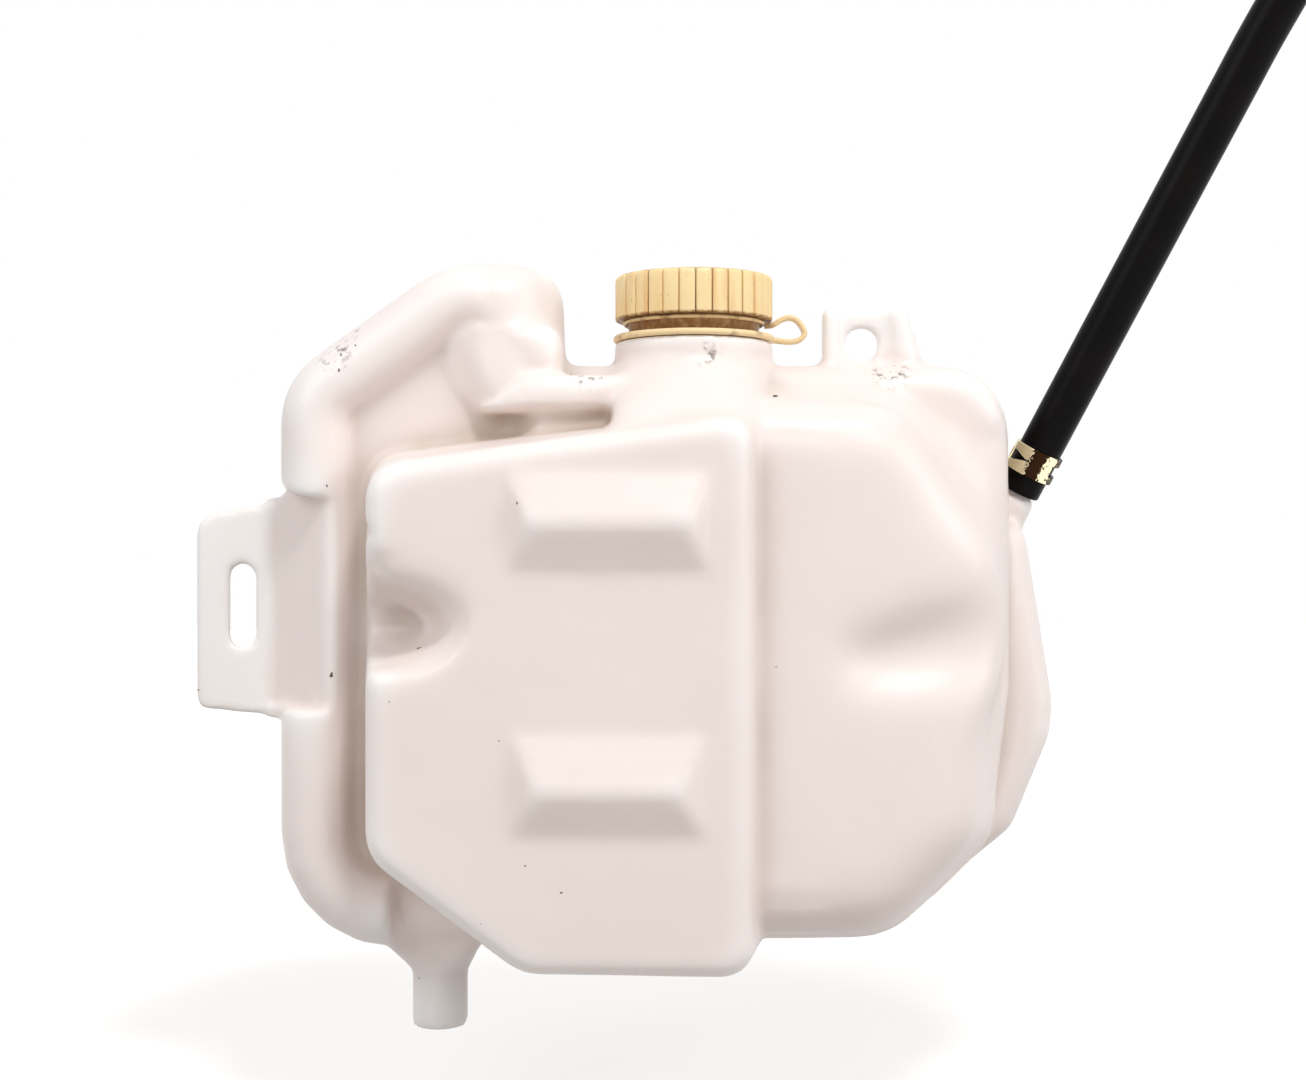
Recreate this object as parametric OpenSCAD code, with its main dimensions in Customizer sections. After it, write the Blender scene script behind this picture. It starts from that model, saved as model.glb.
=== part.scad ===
/* [Tank outline, measured from the fixing hole of the upper ear] */
// Hole to the left side of the tank
left_reach = 183; // [175:1:195]
// Hole to the right side of the front half
right_reach = 47; // [42:1:52]
// Hole down to the flat top of the tank
top_drop = 6.5; // [6:0.5:9]
// Hole down to the bottom of the tank
bottom_drop = 188.5; // [180:0.5:200]
// Height of the horn above the hole
horn_rise = 24; // [18:1:30]
// Hole to the flat right end of the horn
horn_end = 95; // [90:1:100]
// Slope of the horn's left shoulder
horn_slope = 35.5; // [30:0.5:40]
// Radius of the lower left corner
heel_r = 36; // [28:1:42]

/* [Tank depth, measured from the parting plane] */
// Wall of the moulding
wall = 2.5; // [1.5:0.1:3.5]
// Front of the shell round the raised parts
shell_front = 14; // [12:0.5:16]
// Back of the tank
shell_back = 45; // [38:1:55]
// Front of the rounded band down the left side
band_front = 22; // [20:0.5:26]
// Front of the rounded lobe inside the horn
horn_lobe_front = 23; // [20:0.5:27]
// Front of the ledge between the horn and the neck
ledge_front = 26; // [22:0.5:30]
// Width of the rounded band
band_w = 24; // [20:0.5:26]
// Front of the main block
block_front = 49; // [44:1:56]
// Front of the right-hand dome
dome_front = 39; // [34:1:42]
// How far the two ridged pads stand out of the block
pad_proud = 6; // [3:0.5:9]
// Reach of the rear bulge past the hole on the right
bulge_reach = 66; // [60:1:72]

/* [Filler neck and cap] */
// Hole to the axis of the neck
neck_reach = 53.3; // [50:0.1:56]
// Diameter of the collar at the foot of the neck
collar_d = 50; // [46:0.5:54]
// Height of the collar's top above the hole
collar_top = 0.5; // [0:0.5:2]
// Outer diameter of the neck inside the cap
neck_d = 38; // [34:0.5:40]
// Bore of the neck
neck_bore_d = 32; // [26:0.5:34]
// Height of the neck's rim above the hole
neck_top = 17.5; // [16:0.5:19]
// Diameter over the cap's ribs
cap_d = 50; // [46:0.5:54]
// Height of the cap's ribbed part
cap_h = 14; // [12:0.5:18]
// Thickness of the cap's top
cap_top_t = 2.5; // [2:0.1:3]
// Number of grooves round the cap
cap_grooves = 30; // [16:2:36]
// Thickness of the sealing disc
seal_t = 1.5; // [1:0.1:2]
// Radial clearance between the cap and the neck
cap_clear = 0.5; // [0.3:0.1:0.8]

/* [Tether] */
// Height of the tether's straps
strap_h = 1.9; // [1.4:0.1:2.2]
// Width of the ring round the neck
strap_w = 2.6; // [2:0.1:3]
// Reach of the loop from the neck axis
loop_reach = 36; // [34:0.5:38]

/* [Ears] */
// Diameter of the fixing hole
ear_hole_d = 11; // [8:0.5:12]
// Thickness of both ears
ear_t = 5; // [4:0.5:6]
// Height of the upper ear above its hole
ear_rise = 11.5; // [10:0.5:14]
// Width of the slot in the left ear
slot_w = 8.5; // [7:0.5:10]
// Length of the slot in the left ear
slot_l = 27; // [22:1:32]
// Hole to the slot, sideways
slot_reach = 197; // [196:0.5:198]
// Hole to the middle of the slot, down
slot_drop = 83; // [80:0.5:86]

/* [Spigots, hose and clamp] */
// Outer diameter of the bottom outlet
outlet_d = 17.5; // [15:0.5:20]
// Bore of the bottom outlet
outlet_bore_d = 12; // [9:0.5:14]
// Hole to the bottom outlet, sideways
outlet_reach = 134; // [130:0.5:138]
// Hole down to the end of the outlet
outlet_drop = 216; // [212:0.5:222]
// Outer diameter of the overflow spigot
spigot_d = 8.6; // [7:0.2:10]
// Bore of the overflow spigot
spigot_bore_d = 5; // [4:0.2:6]
// Outer diameter of the hose
hose_d = 14; // [12:0.5:16]
// Wall of the hose
hose_wall = 2.5; // [2:0.1:3]
// Width of the spring clamp
clamp_w = 9; // [7:0.5:10]
// Hose end to the middle of the clamp
clamp_at = 11; // [9:0.5:14]
// Thickness of the spring clamp's band
clamp_t = 1; // [0.8:0.1:1.4]

/* [Hidden] */
$fn = 64;
arc_n = 5;
sliver = 0.6;

// Corners of the outlines are [x, z, radius], counter-clockwise as the front shows them.
horn_top_x = -horn_end - 36;
horn_side_z = horn_rise + 1 - (left_reach + horn_top_x) * tan(horn_slope);
shell_outline = [
    [-left_reach, -bottom_drop - 1.5, heel_r],
    [right_reach - 41, -bottom_drop, 26],
    [right_reach - 6, -bottom_drop + 30, 20],
    [right_reach, -bottom_drop + 78, 20],
    [right_reach, -top_drop, 22],
    [-horn_end + 1, -top_drop, 3],
    [-horn_end, horn_rise, 12],
    [horn_top_x, horn_rise + 1, 36],
    [-left_reach, horn_side_z, 26]
];
shell_hub = [-horn_end - 17, -60];
shell_round = 8;
shell_draft = 1.5;
back_round = 14;
back_draft = 4;

block_left = -151;
block_right = -36.5;
block_bottom = -bottom_drop - 1.5;
block_face_outline = [
    [block_left, -bottom_drop + 33, 14],
    [block_left + 46, block_bottom, 16],
    [block_right, block_bottom - 1, 9],
    [block_right, -24, 9],
    [block_left, -40, 11]
];
block_root_outline = [
    [block_left - 5, -bottom_drop + 32, 14],
    [block_left + 44, block_bottom + 2, 16],
    [block_right + 8, block_bottom + 2, 9],
    [block_right + 8, -20, 9],
    [block_left - 4, -35, 11]
];
block_hub = [-90, -100];
block_round = 6;

dome_face_outline = [
    [-60, -bottom_drop + 6, 12],
    [6, -bottom_drop + 6, 24],
    [34, -bottom_drop + 36, 18],
    [37, -95, 24],
    [36, -62, 26],
    [12, -20, 30],
    [-60, -16, 8]
];
dome_root_outline = [
    [-60, -bottom_drop + 1, 12],
    [8, -bottom_drop + 1, 26],
    [41, -bottom_drop + 32, 20],
    [45, -95, 24],
    [45, -55, 26],
    [16, -10, 30],
    [-60, -9, 8]
];
dome_hub = [-10, -95];
dome_round = 17;

horn_lobe_outline = [
    [-horn_end - 30, -13, 6], [-horn_end + 0.5, -13, 5], [-horn_end + 0.5, 5, 8], [-horn_end - 17, 7, 12],
    [-horn_end - 30, -1, 8]
];
horn_lobe_hub = [-horn_end - 12, -4];
horn_lobe_round = 6;
ledge_outline = [[-124, -23, 4.5], [-60, -23, 4.5], [-60, -11.5, 4.5], [-120, -11.5, 4.5]];
ledge_hub = [-90, -17];
ledge_round = 4;
lobe_root = 6;

bulge_outline = [
    [-20, -bottom_drop + 9, 10],
    [bulge_reach - 40, -bottom_drop + 9, 14],
    [bulge_reach - 13, -bottom_drop + 31, 12],
    [bulge_reach, -126, 12],
    [bulge_reach + 1, -114, 12],
    [bulge_reach - 9, -54, 8],
    [-20, -54, 8]
];
bulge_hub = [20, -115];
bulge_round = 9;
bulge_front = 4;

pads = [[-112, -46.5, -79, -34, -57, -102, -56], [-112, -46.5, -156, -110, -135, -100, -59]];
pad_sink = 3;

neck_axis = [-neck_reach, 0];
neck_foot = -top_drop - 2;
cap_skirt = neck_top + seal_t + cap_top_t - cap_h;
cap_top = neck_top + seal_t + cap_top_t;
cap_collar_h = 4.5;
cap_collar_d = neck_d + 2 * cap_clear + 3.6;
cap_collar_foot = cap_skirt - cap_collar_h;

hose_bore_d = hose_d - 2 * hose_wall;
hose_route = [
    [54, 19, -46], [60, 15.5, -33.5], [66, 12, -21], [72, 8.5, -8.5], [78, 5, 4], [84, 1.5, 16.5],
    [90, -2, 29], [96, -5.5, 41.5], [102, -9, 54], [108, -12.5, 66.5], [114, -16, 79],
    [120, -19.5, 91.5], [126.5, -23, 104], [133, -26.5, 116], [139.5, -30, 128]
];
spigot_dir = (hose_route[1] - hose_route[0]) / norm(hose_route[1] - hose_route[0]);
spigot_reach = 20;
spigot_boss_d = spigot_d + 5;
spigot_gap = 1.5;
clamp_clear = 0.1;
tang_turn = 14;
tang_reach = 6;

ear_left = -slot_reach - 14.5;
ear_top = -slot_drop + 28.5;
ear_bottom = -slot_drop - 32.5;
left_ear_outline = [
    [ear_left, ear_bottom, 4], [-left_reach + 6, ear_bottom - 3, 1],
    [-left_reach + 6, ear_top + 6, 1], [ear_left, ear_top, 7]
];
gusset_plan = [
    [-left_reach - 6, -ear_t / 2 + 0.6], [-left_reach + 9, -band_front + 3], [-left_reach + 13, -band_front + 3],
    [-left_reach + 13, 10], [-left_reach + 6, 10], [-left_reach - 6, ear_t / 2 - 0.6]
];
upper_ear_outline = [
    [-12.5, -top_drop - 9, 1], [20, -top_drop - 9, 1], [19.5, -top_drop + 1, 1],
    [14, ear_rise, 3], [-12.5, ear_rise, 2]
];
flange_proud = 3;
upper_ear_flanges = [
    [[-12.2, -top_drop - 8, 1], [-8.2, -top_drop - 8, 1], [-8.2, ear_rise - 0.4, 1], [-12.2, ear_rise - 0.4, 1]],
    [[12, -top_drop - 8, 1], [19, -top_drop - 8, 1], [13.5, ear_rise - 0.6, 1], [9, ear_rise - 0.6, 1]]
];

left_dimple = [[-175, -106, 4], [-123, -106, 14], [-123, -77, 14], [-175, -74, 4]];
right_dimple = [[-12, -109, 12], [62, -107, 4], [62, -64, 4], [-12, -91, 9]];
dimple_round = 9;
left_dimple_floor = -23;
right_dimple_floor = -28;

function spot(c) = [c[0], c[1]];
function inward(p, q) = let (t = (q - p) / norm(q - p)) [-t[1], t[0]];

// One rounded corner of an outline, once the outline has moved inward by d
function corner(c, i, d) =
    let (
        n = len(c),
        q = spot(c[i]),
        n1 = inward(spot(c[(i + n - 1) % n]), q),
        n2 = inward(q, spot(c[(i + 1) % n])),
        turned = cross(n1, n2),
        side = turned >= 0 ? 1 : -1,
        r = max(c[i][2] - side * d, sliver),
        middle = q + (d + side * r) * (n1 + n2) / (1 + n1 * n2),
        a1 = atan2(n1[1], n1[0]),
        turn = atan2(turned, n1 * n2)
    )
    [for (k = [0 : arc_n]) let (a = a1 + turn * k / arc_n) middle - side * r * [cos(a), sin(a)]];

function ring(c, d, y) = [for (i = [0 : len(c) - 1]) for (p = corner(c, i, d)) [p[0], y, p[1]]];

// A rounded edge as [inset, y] steps, from the flat face out to the side wall
function edge_steps(face, r, draft, skin) =
    [for (a = [90 : -30 : 0]) [draft + r - (r - skin) * cos(a), -face + r - (r - skin) * sin(a)]];

// A closed solid through rings that all have the same number of points, front ring first
module loft(rings, front_hub, back_hub) {
    n = len(rings[0]);
    last = len(rings) - 1;
    front_tip = n * (last + 1);
    points = [for (r = rings) each r, front_hub, back_hub];
    sides = [
        for (j = [0 : last - 1]) for (i = [0 : n - 1])
            let (a = j * n + i, b = j * n + (i + 1) % n)
                each [[a, b, b + n], [a, b + n, a + n]]
    ];
    front = [for (i = [0 : n - 1]) [front_tip, (i + 1) % n, i]];
    back = [for (i = [0 : n - 1]) [front_tip + 1, last * n + i, last * n + (i + 1) % n]];
    polyhedron(points, concat(sides, front, back), convexity = 6);
}

// A raised part of the moulding between a front outline and a wider one at its root
module lobe(face_outline, root_outline, hub, face, root, r, skin) {
    steps = edge_steps(face, r, 0, skin);
    rings = concat([for (s = steps) ring(face_outline, s[0], s[1])], [ring(root_outline, skin, -root)]);
    loft(rings, [hub[0], -face + skin, hub[1]], [hub[0], -root, hub[1]]);
}

// The flat shell that the raised parts grow from, on both sides of the parting plane
module shell(skin) {
    front = edge_steps(shell_front, shell_round, shell_draft, skin);
    rear = edge_steps(shell_back, back_round, back_draft, skin);
    back = [for (i = [len(rear) - 1 : -1 : 0]) [rear[i][0], -rear[i][1]]];
    steps = concat(front, [[skin, 0]], back);
    hub = shell_hub;
    loft(
        [for (s = steps) ring(shell_outline, s[0], s[1])],
        [hub[0], -shell_front + skin, hub[1]],
        [hub[0], shell_back - skin, hub[1]]
    );
}

// The rounded band: a half-oval that follows the outline from the horn's end down to the heel
module band(skin) {
    n = arc_n + 1;
    first = 6 * n + 2;
    last = 9 * n + arc_n;
    half = band_w / 2;
    root = shell_front - 6;
    steps = [
        for (a = [0 : 22.5 : 180])
            [half - (half - skin) * cos(a), -root - (band_front - skin - root) * sin(a)]
    ];
    tracks = [for (s = steps) ring(shell_outline, s[0], s[1])];
    count = len(tracks[0]);
    rings = [for (i = [first : last]) [for (t = tracks) t[i % count]]];
    loft(rings, rings[0][4] * 0.5 + rings[0][0] * 0.5, rings[last - first][4] * 0.5 + rings[last - first][0] * 0.5);
}

// A hip-roofed pad on the face of the block
module pad(p) {
    root = -block_front + pad_sink;
    ridge = -block_front - pad_proud;
    half = sliver;
    rings = [
        [[p[5], ridge, p[4] - half], [p[6], ridge, p[4] - half], [p[6], ridge, p[4] + half], [p[5], ridge, p[4] + half]],
        [[p[0], root, p[2]], [p[1], root, p[2]], [p[1], root, p[3]], [p[0], root, p[3]]]
    ];
    loft(rings, [(p[5] + p[6]) / 2, ridge, p[4]], [(p[0] + p[1]) / 2, root, p[4]]);
}

// The bulge at the right, behind the parting plane
module bulge(skin) {
    front = edge_steps(-bulge_front, bulge_round, 3, skin);
    rear = edge_steps(shell_back - 3, bulge_round, 2, skin);
    back = [for (i = [len(rear) - 1 : -1 : 0]) [rear[i][0], -rear[i][1]]];
    hub = bulge_hub;
    loft(
        [for (s = concat(front, back)) ring(bulge_outline, s[0], s[1])],
        [hub[0], bulge_front + skin, hub[1]],
        [hub[0], shell_back - 3 - skin, hub[1]]
    );
}

// A recess pressed into the front, with sloped sides and a rounded floor
module dimple(outline, mouth, floor_y, skin) {
    slope = 0.35;
    depth = floor_y - mouth;
    r = dimple_round;
    wide = [for (y = [mouth, floor_y - r]) ring(outline, (y - mouth) * slope - skin, y)];
    round = [
        for (a = [22.5 : 22.5 : 90])
            ring(outline, (depth - r) * slope + r * (1 - cos(a)) - skin, floor_y - r * (1 - sin(a)) + skin)
    ];
    rings = concat(wide, round);
    loft(rings, mid(rings[0]), mid(rings[len(rings) - 1]));
}

function mid(points) = [for (k = [0 : 2]) let (v = [for (p = points) p[k]]) (min(v) + max(v)) / 2];

// The shoulder that runs from the foot of the neck down on to the block
module shoulder(skin) {
    left = -neck_reach - collar_d / 2 + skin;
    front = -block_front + 5 + skin;
    hull() {
        translate([-neck_reach, 0, neck_foot]) cylinder(d = collar_d + 2 - 2 * skin, h = 1, $fn = 32);
        translate([left, front, neck_foot - 24]) cube([block_right - 1 - skin - left, -front, 1]);
    }
}

// The funnel between the heel of the tank and the bottom outlet
module outlet_root(skin) {
    hull() {
        translate([-outlet_reach, 0, -bottom_drop - 9]) cylinder(d = outlet_d + 1.6 - 2 * skin, h = 1, $fn = 32);
        translate([-outlet_reach - 22 + skin, -10 + skin, -bottom_drop + 5])
            cube([38 - 2 * skin, 20 - 2 * skin, 1]);
    }
}

// The wedge that carries the left ear on the band
module gusset(skin) {
    plan = [for (p = gusset_plan) [p[0], p[1] * (1 - skin / 10)]];
    translate([skin, 0, ear_bottom - 3 + skin])
        linear_extrude(ear_top - ear_bottom + 9 - 2 * skin) polygon(plan);
}

function flat(outline) = [for (i = [0 : len(outline) - 1]) each corner(outline, i, 0)];

// A flat plate that stands in the parting plane
module plate(outline, front, back) {
    translate([0, back, 0]) rotate([90, 0, 0]) linear_extrude(front + back) polygon(flat(outline));
}

module ears() {
    half = ear_t / 2;
    plate(left_ear_outline, half, half);
    plate(upper_ear_outline, half, half);
    for (f = upper_ear_flanges) plate(f, half + flange_proud, half - 1);
}

module ear_holes() {
    rotate([90, 0, 0]) cylinder(d = ear_hole_d, h = 4 * ear_t, center = true);
    translate([-slot_reach, 0, -slot_drop]) {
        for (side = [-1, 1])
            translate([0, 0, side * (slot_l - slot_w) / 2])
                rotate([90, 0, 0]) cylinder(d = slot_w, h = 4 * ear_t, center = true);
        cube([slot_w, 4 * ear_t, slot_l - slot_w], center = true);
    }
}

module along_spigot(distance) {
    at = hose_route[0] + spigot_dir * distance;
    translate(at) rotate([0, acos(spigot_dir[2]), atan2(spigot_dir[1], spigot_dir[0])]) children();
}

module pipes() {
    translate([-neck_reach, 0, neck_foot]) cylinder(d = collar_d, h = collar_top - neck_foot);
    translate([-neck_reach, 0, neck_foot]) cylinder(d = neck_d, h = neck_top - neck_foot);
    translate([-outlet_reach, 0, -outlet_drop]) cylinder(d = outlet_d, h = outlet_drop - bottom_drop - 8);
    along_spigot(-20) cylinder(d = spigot_boss_d, h = 20 - spigot_gap);
    along_spigot(-20) cylinder(d = spigot_d, h = 20 + spigot_reach);
}

module pipe_bores() {
    translate([-neck_reach, 0, neck_foot - 20]) cylinder(d = neck_bore_d, h = neck_top - neck_foot + 30);
    translate([-outlet_reach, 0, -outlet_drop - 1]) cylinder(d = outlet_bore_d, h = outlet_drop - bottom_drop + 10);
    along_spigot(-24) cylinder(d = spigot_bore_d, h = 25 + spigot_reach);
}

// The bottle's outer form with skin 0, or the space inside it with skin = wall
module bottle(skin) {
    difference() {
        union() {
            shell(skin);
            band(skin);
            lobe(block_face_outline, block_root_outline, block_hub, block_front, 8, block_round, skin);
            lobe(dome_face_outline, dome_root_outline, dome_hub, dome_front, 8, dome_round, skin);
            lobe(horn_lobe_outline, horn_lobe_outline, horn_lobe_hub, horn_lobe_front, lobe_root, horn_lobe_round, skin);
            lobe(ledge_outline, ledge_outline, ledge_hub, ledge_front, lobe_root, ledge_round, skin);
            for (p = pads) translate([0, skin * 1.1, 0]) pad(p);
            bulge(skin);
            shoulder(skin);
            outlet_root(skin);
            gusset(skin);
        }
        dimple(left_dimple, -block_front - 4 + skin, left_dimple_floor, skin);
        dimple(right_dimple, -dome_front - 4 + skin, right_dimple_floor, skin);
    }
}

// The same form as one continuous skin
module moulded(skin) {
    resize([0, 0, 0]) bottle(skin);
}

module tank_body() {
    color("antiquewhite")
        difference() {
            union() {
                moulded(0);
                ears();
                pipes();
            }
            moulded(wall);
            pipe_bores();
            ear_holes();
        }
}

module filler_cap() {
    r = cap_d / 2;
    bore = neck_d / 2 + cap_clear;
    collar = cap_collar_d / 2;
    color("navajowhite")
        translate([-neck_reach, 0, 0])
            difference() {
                rotate_extrude()
                    polygon([
                        [0, cap_top - cap_top_t], [bore, cap_top - cap_top_t], [bore, cap_collar_foot],
                        [collar - 0.8, cap_collar_foot], [collar, cap_skirt], [r, cap_skirt],
                        [r, cap_top - 1.2], [r - 1.2, cap_top], [0, cap_top]
                    ]);
                for (i = [0 : cap_grooves - 1])
                    rotate(i * 360 / cap_grooves)
                        translate([r + 0.3, 0, cap_skirt - 1]) cylinder(r = 1, h = cap_h + 2, $fn = 16);
            }
}

module cap_seal() {
    color("dimgray")
        translate([-neck_reach, 0, neck_top]) cylinder(d = neck_d + cap_clear, h = seal_t);
}

// A flat ring, from its inner radius
module strap_ring(inner, width, z) {
    translate([0, 0, z])
        difference() {
            cylinder(r = inner + width, h = strap_h);
            translate([0, 0, -1]) cylinder(r = inner, h = strap_h + 2);
        }
}

module cap_tether() {
    low = collar_top + 0.2;
    high = cap_skirt - 0.3 - strap_h;
    low_inner = neck_d / 2 + cap_clear + 1.5;
    high_inner = cap_collar_d / 2 + 0.4;
    bend = (high + strap_h - low) / 2;
    color("navajowhite")
        translate([-neck_reach, 0, 0])
            union() {
                strap_ring(low_inner, collar_d / 2 - low_inner + 0.5, low);
                strap_ring(high_inner, strap_w - 0.6, high);
                translate([0, strap_w * 0.8, 0]) rotate([90, 0, 0]) linear_extrude(strap_w * 1.6)
                    difference() {
                        union() {
                            translate([collar_d / 2 - 1.5, low]) square([loop_reach - bend - collar_d / 2 + 1.5, 2 * bend]);
                            translate([loop_reach - bend, low + bend]) circle(r = bend);
                        }
                        translate([loop_reach - bend, low + bend]) circle(r = bend - strap_h);
                        translate([0, low + strap_h]) square([loop_reach - bend, 2 * (bend - strap_h)]);
                    }
            }
}

// A round tube swept along a route, with walls between an outer and an inner radius
module tube(route, outer, inner, sides) {
    n = len(route);
    tangent = [for (i = [0 : n - 1]) let (t = route[min(i + 1, n - 1)] - route[max(i - 1, 0)]) t / norm(t)];
    points = [
        for (r = [outer, inner]) for (i = [0 : n - 1])
            let (u = cross(tangent[i], [0, 1, 0]) / norm(cross(tangent[i], [0, 1, 0])), v = cross(tangent[i], u))
                for (k = [0 : sides - 1])
                    route[i] + r * (cos(k * 360 / sides) * u + sin(k * 360 / sides) * v)
    ];
    inside = n * sides;
    last = (n - 1) * sides;
    faces = [
        for (k = [0 : sides - 1])
            let (m = (k + 1) % sides)
                each concat(
                    [
                        for (j = [0 : sides : last - 1])
                            each [
                                [j + k, j + sides + k, j + sides + m], [j + k, j + sides + m, j + m],
                                [inside + j + k, inside + j + sides + m, inside + j + sides + k],
                                [inside + j + k, inside + j + m, inside + j + sides + m]
                            ]
                    ],
                    [
                        [k, m, inside + m], [k, inside + m, inside + k],
                        [last + k, inside + last + m, last + m], [last + k, inside + last + k, inside + last + m]
                    ]
                )
    ];
    polyhedron(points, faces, convexity = 4);
}

module overflow_hose() {
    color("#201c1b") tube(hose_route, hose_d / 2, hose_bore_d / 2, 12);
}

// A spring band with a long window, closed by two tangs at the back
module hose_clamp() {
    inner = hose_d / 2 + clamp_clear;
    outer = inner + clamp_t;
    window = clamp_w * 0.42;
    color("darkkhaki")
        along_spigot(clamp_at - clamp_w / 2)
            difference() {
                union() {
                    cylinder(r = outer, h = clamp_w);
                    for (side = [-1, 1])
                        rotate(90 + side * tang_turn)
                            translate([outer - clamp_t / 2, -clamp_t / 2, clamp_w * 0.2])
                                cube([tang_reach, clamp_t, clamp_w * 0.6]);
                }
                translate([0, 0, -1]) cylinder(r = inner, h = clamp_w + 2);
                translate([0, 0, (clamp_w - window) / 2])
                    rotate(170)
                        rotate_extrude(angle = 200) translate([inner - 1, 0]) square([clamp_t + 2, window]);
            }
}

tank_body();
filler_cap();
cap_seal();
cap_tether();
overflow_hose();
hose_clamp();
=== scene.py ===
import math

import bmesh
import bpy
import numpy as np
import openvdb
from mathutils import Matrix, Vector
from mathutils.bvhtree import BVHTree


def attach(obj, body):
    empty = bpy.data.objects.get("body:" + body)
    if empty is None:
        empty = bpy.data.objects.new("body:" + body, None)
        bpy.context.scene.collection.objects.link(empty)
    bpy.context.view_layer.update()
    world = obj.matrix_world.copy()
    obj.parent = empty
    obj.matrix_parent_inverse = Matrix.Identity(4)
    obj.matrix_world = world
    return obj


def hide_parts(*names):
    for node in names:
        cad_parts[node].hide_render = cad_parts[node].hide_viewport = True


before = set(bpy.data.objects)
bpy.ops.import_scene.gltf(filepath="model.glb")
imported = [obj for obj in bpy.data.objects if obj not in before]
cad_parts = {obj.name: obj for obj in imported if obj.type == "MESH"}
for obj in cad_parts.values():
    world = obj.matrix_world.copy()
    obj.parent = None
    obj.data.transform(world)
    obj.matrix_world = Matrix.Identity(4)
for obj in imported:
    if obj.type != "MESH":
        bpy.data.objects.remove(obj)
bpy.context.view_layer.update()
scene = bpy.context.scene
scene.view_settings.view_transform = "Standard"
print("frame loaded:", ", ".join(sorted(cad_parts)))


# small helpers
def srgb(hexCode, alpha=1.0):
    values = [int(hexCode[i:i + 2], 16) / 255 for i in (1, 3, 5)]
    linear = [v / 12.92 if v <= 0.04045 else ((v + 0.055) / 1.055) ** 2.4 for v in values]
    return (*linear, alpha)


def addNode(tree, kind, settings=None, inputs=None):
    # adds one node; an input is a value or another node's output socket
    node = tree.nodes.new(kind)
    for name, value in (settings or {}).items():
        setattr(node, name, value)
    for key, value in (inputs or {}).items():
        if isinstance(value, bpy.types.NodeSocket):
            tree.links.new(value, node.inputs[key])
        else:
            node.inputs[key].default_value = value
    return node


def maths(tree, operation, first, second=0.0):
    return addNode(tree, "ShaderNodeMath", {"operation": operation}, {0: first, 1: second}).outputs[0]


def newMaterial(name):
    material = bpy.data.materials.new(name)
    material.use_nodes = True
    tree = material.node_tree
    tree.nodes.clear()
    output = addNode(tree, "ShaderNodeOutputMaterial")
    return material, tree, output


def meshObject(name, points, faces, smooth=True):
    # doubles are merged first, so that the faces know which way is out
    mesh = bpy.data.meshes.new(name)
    mesh.from_pydata([tuple(p) for p in points], [], [tuple(f) for f in faces])
    shape = bmesh.new()
    shape.from_mesh(mesh)
    bmesh.ops.remove_doubles(shape, verts=shape.verts, dist=1e-6)
    bmesh.ops.recalc_face_normals(shape, faces=shape.faces)
    shape.to_mesh(mesh)
    shape.free()
    if smooth:
        mesh.shade_smooth()
    piece = bpy.data.objects.new(name, mesh)
    scene.collection.objects.link(piece)
    return piece


def finishPiece(piece, body, slot, material, *nodes):
    piece.data.materials.clear()
    piece.data.materials.append(material)
    if nodes:
        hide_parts(*nodes)
    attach(piece, body)


# camera
view = {
    "place": (-0.0663, -0.560, -0.0621),
    "lens": 48.43,
    "sensor": 36.0,
}
camera = bpy.data.objects.new("camera", bpy.data.cameras.new("camera"))
camera.data.lens = view["lens"]
camera.data.sensor_width = view["sensor"]
camera.location = view["place"]
camera.rotation_euler = (math.radians(90), 0, 0)
scene.collection.objects.link(camera)
scene.camera = camera

# hose
hose = {
    # the middle line of the part in view, from the spigot to just outside the frame
    "route": [
        (0.054, 0.019, -0.046), (0.060, 0.0155, -0.0335), (0.066, 0.012, -0.021),
        (0.072, 0.0085, -0.0085), (0.078, 0.005, 0.004), (0.084, 0.0015, 0.0165),
        (0.090, -0.002, 0.029), (0.096, -0.0055, 0.0415), (0.102, -0.009, 0.054),
        (0.108, -0.0125, 0.0665), (0.114, -0.016, 0.079), (0.120, -0.0195, 0.0915),
        (0.1265, -0.023, 0.104), (0.133, -0.0265, 0.116), (0.1395, -0.030, 0.128),
    ],
    "diameter": 0.014,
    "bore": 0.009,
    "edge": 0.0004,      # rounding of the cut ends
    "sides": 48,
    "rings": 84,         # rings of points along the outside
    "innerEvery": 8,     # the bore has one ring for so many outside
}


def alongPath(path, t):
    # a point on a smooth line through the route, with t from 0 to 1
    place = t * (len(path) - 1)
    i = min(int(place), len(path) - 2)
    f = place - i
    p = [Vector(path[max(0, min(len(path) - 1, i + k))]) for k in (-1, 0, 1, 2)]
    return 0.5 * (
        2 * p[1] + (p[2] - p[0]) * f
        + (2 * p[0] - 5 * p[1] + 4 * p[2] - p[3]) * f * f
        + (3 * p[1] - p[0] - 3 * p[2] + p[3]) * f ** 3
    )


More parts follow.
